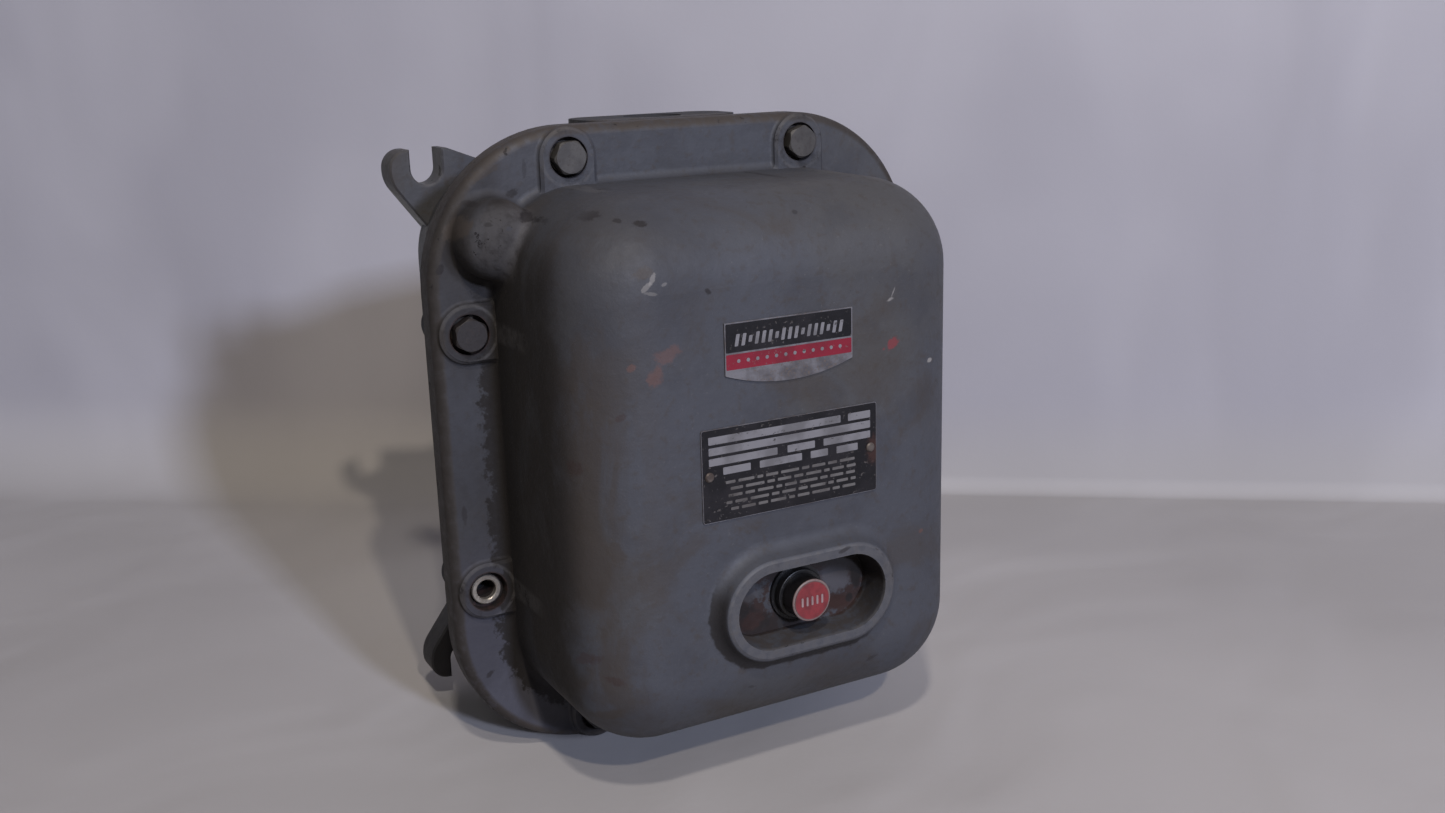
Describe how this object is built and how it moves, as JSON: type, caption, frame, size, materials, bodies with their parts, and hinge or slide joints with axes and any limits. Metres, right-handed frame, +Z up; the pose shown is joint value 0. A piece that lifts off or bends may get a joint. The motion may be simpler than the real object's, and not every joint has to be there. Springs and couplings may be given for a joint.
{
  "type": "magnetic motor starter",
  "caption": "Industrial magnetic motor starter in a bolted cast enclosure with a red reset button, mounting lugs and conduit hubs.",
  "frame": {"origin": "centre of the back face that lies on the wall", "axes": "+X right, +Y back towards the wall, +Z up; the front with the reset button faces -Y"},
  "size_m": [0.228, 0.172, 0.2662],
  "materials": {
    "painted_casting": "worn blue-grey enamel on a casting",
    "bolt_steel": "dull zinc-plated steel",
    "plate_metal": "printed sheet",
    "black_plastic": "moulded black",
    "red_plastic": "moulded red",
    "spring_steel": "music wire",
    "panel_steel": "zinc-plated sheet",
    "phenolic": "moulded phenolic",
    "lamination": "oiled silicon steel",
    "winding": "varnished copper wire",
    "copper": "copper alloy"
  },
  "bodies": {
    "enclosure": {"arc_cover": "phenolic", "arc_housing": "phenolic", "badge_plate": "plate_metal", "base_casting": "painted_casting", "bolt_collars": "bolt_steel", "coil_bobbin": "phenolic", "coil_winding": "winding", "contactor_screws": "bolt_steel", "contactor_tray": "phenolic", "control_contact_fixed": "copper", "cover_bolts": "bolt_steel", "cover_casting": "painted_casting", "data_plate": "plate_metal", "fixed_contacts": "copper", "heater_screws": "copper", "heaters": "copper", "kickout_springs": "spring_steel", "lever_pin": "bolt_steel", "load_straps": "copper", "magnet_core": "lamination", "mounting_panel": "panel_steel", "panel_screws": "bolt_steel", "plate_pins": "plate_metal", "relay_block": "phenolic", "relay_screws": "bolt_steel", "reset_guide": "black_plastic", "reset_nut": "bolt_steel", "reset_spring": "spring_steel", "rod_bracket": "panel_steel", "rod_spring": "spring_steel", "terminal_screws": "copper"},
    "button": {"reset_button": "black_plastic", "reset_disc": "red_plastic", "reset_clip": "bolt_steel"},
    "crosshead": {"armature": "lamination", "contact_carrier": "phenolic", "contact_springs": "spring_steel"},
    "bridges": {"contact_bridges": "copper"},
    "push_rod": {"reset_rod": "bolt_steel"},
    "trip_lever": {"trip_lever": "phenolic", "control_contact_moving": "copper"}
  },
  "joints": [
    {"name": "reset_press", "type": "slide", "parent": "enclosure", "child": "button", "axis": [0, 1, 0], "range_m": [0, 0.0055], "stiffness_N_per_m": 150, "springref_m": -0.01, "deforming": ["reset_spring"]},
    {"name": "rod_push", "type": "slide", "parent": "enclosure", "child": "push_rod", "axis": [0, 1, 0], "range_m": [0, 0.0055], "deforming": ["rod_spring"]},
    {"name": "trip_reset", "type": "hinge", "parent": "enclosure", "child": "trip_lever", "pos_m": [0.005, -0.036, -0.072], "axis": [1, 0, 0], "range_deg": [-19, 0]},
    {"name": "armature_pull", "type": "slide", "parent": "enclosure", "child": "crosshead", "axis": [0, 1, 0], "range_m": [0, 0.0058], "stiffness_N_per_m": 300, "springref_m": -0.02, "deforming": ["kickout_springs"]},
    {"name": "contact_overtravel", "type": "slide", "parent": "crosshead", "child": "bridges", "axis": [0, 1, 0], "range_m": [-0.0015, 0], "deforming": ["contact_springs"]}
  ],
  "couplings": [
    {"joint": "rod_push", "follows": "reset_press", "ratio": 1},
    {"joint": "trip_reset", "follows": "reset_press", "rad_per_m": -60.293},
    {"joint": "contact_overtravel", "follows": "armature_pull", "ratio": -0.25862}
  ]
}
